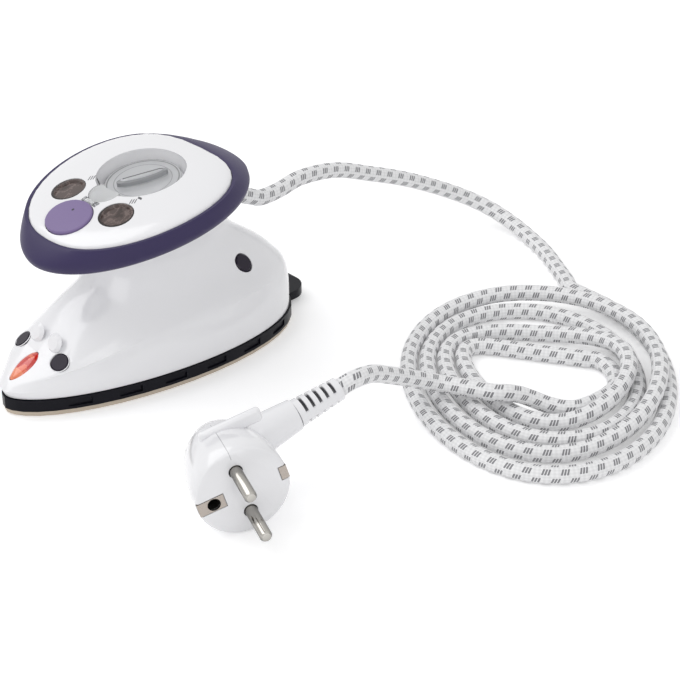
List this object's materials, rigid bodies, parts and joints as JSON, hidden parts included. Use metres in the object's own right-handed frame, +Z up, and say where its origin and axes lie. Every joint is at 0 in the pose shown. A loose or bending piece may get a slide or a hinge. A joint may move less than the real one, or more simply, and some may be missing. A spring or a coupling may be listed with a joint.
{
  "type": "mini press iron",
  "caption": "Small steam travel iron with a broad oval handle, temperature dial, steam button, water filler lid and a coiled textile cord with an angled plug.",
  "frame": {"origin": "middle of the iron's footprint on the table, at the underside of the soleplate, cord left out", "axes": "+Z up, -Y towards the nose, +Y towards the heel and the cord, X across"},
  "size_m": [0.2428, 0.2753, 0.0875],
  "materials": {
    "white_plastic": "gloss",
    "rim_rubber": "matt",
    "button_plastic": "satin",
    "dark_plastic": "satin",
    "black_plastic": "satin",
    "clear_plastic": "clear gloss",
    "smoky_plastic": "tinted gloss",
    "lamp_red": "clear red gloss",
    "lamp_glass": "clear",
    "sole_coating": "satin champagne coating",
    "alloy": "as cast",
    "steel": "bright",
    "nickel": "nickel plated",
    "phenolic": "moulded",
    "textile": "woven sleeve",
    "lead_sleeve": "glass fibre sleeve"
  },
  "bodies": {
    "iron": {"soleplate": "sole_coating", "heater_casting": "alloy", "heating_element": "steel", "steam_chamber_cover": "steel", "thermostat": "phenolic", "thermal_fuse": "white_plastic", "heat_shield": "steel", "shield_screw_left": "steel", "shield_screw_right": "steel", "shield_screw_rear": "steel", "terminal_block": "white_plastic", "skirt": "black_plastic", "body_shell": "white_plastic", "eye_plug_left": "dark_plastic", "eye_plug_right": "dark_plastic", "rear_plug_left": "dark_plastic", "rear_plug_right": "dark_plastic", "pilot_lens": "lamp_red", "pilot_lamp": "lamp_glass", "cord_gland": "white_plastic", "inner_lead": "lead_sleeve", "grip_rim": "rim_rubber", "handle_pan": "white_plastic", "handle_cover": "white_plastic", "dial_scale_ring": "white_plastic", "filler_lid_pin": "steel", "filler_funnel": "white_plastic", "water_window_left": "smoky_plastic", "water_window_right": "smoky_plastic", "pump_body": "white_plastic", "button_spring": "steel", "water_tank": "clear_plastic", "water_feed_pipe": "white_plastic", "cord_iron_stretch": "textile", "cord_coil": "textile", "cord_plug_stretch": "textile", "plug_body": "white_plastic", "plug_strain_relief": "white_plastic", "earth_strip": "nickel", "earth_clip": "nickel", "plug_pin_upper": "nickel", "plug_pin_lower": "nickel"},
    "dial": {"temperature_dial": "clear_plastic", "thermostat_shaft": "steel"},
    "button": {"steam_button": "button_plastic", "pump_piston": "white_plastic"},
    "lid": {"filler_lid": "clear_plastic"}
  },
  "joints": [
    {"name": "dial_turn", "type": "hinge", "parent": "iron", "child": "dial", "pos_m": [0, -0.0025, 0.0811], "axis": [0, -0.165, 0.9863], "range_deg": [-135, 135]},
    {"name": "steam_press", "type": "slide", "parent": "iron", "child": "button", "axis": [0, 0.3256, -0.9455], "range_m": [0, 0.0025], "stiffness_N_per_m": 900, "springref_m": -0.001},
    {"name": "lid_flip", "type": "hinge", "parent": "iron", "child": "lid", "pos_m": [0, -0.02912, 0.07954], "axis": [1, 0, 0], "range_deg": [0, 95]}
  ]
}
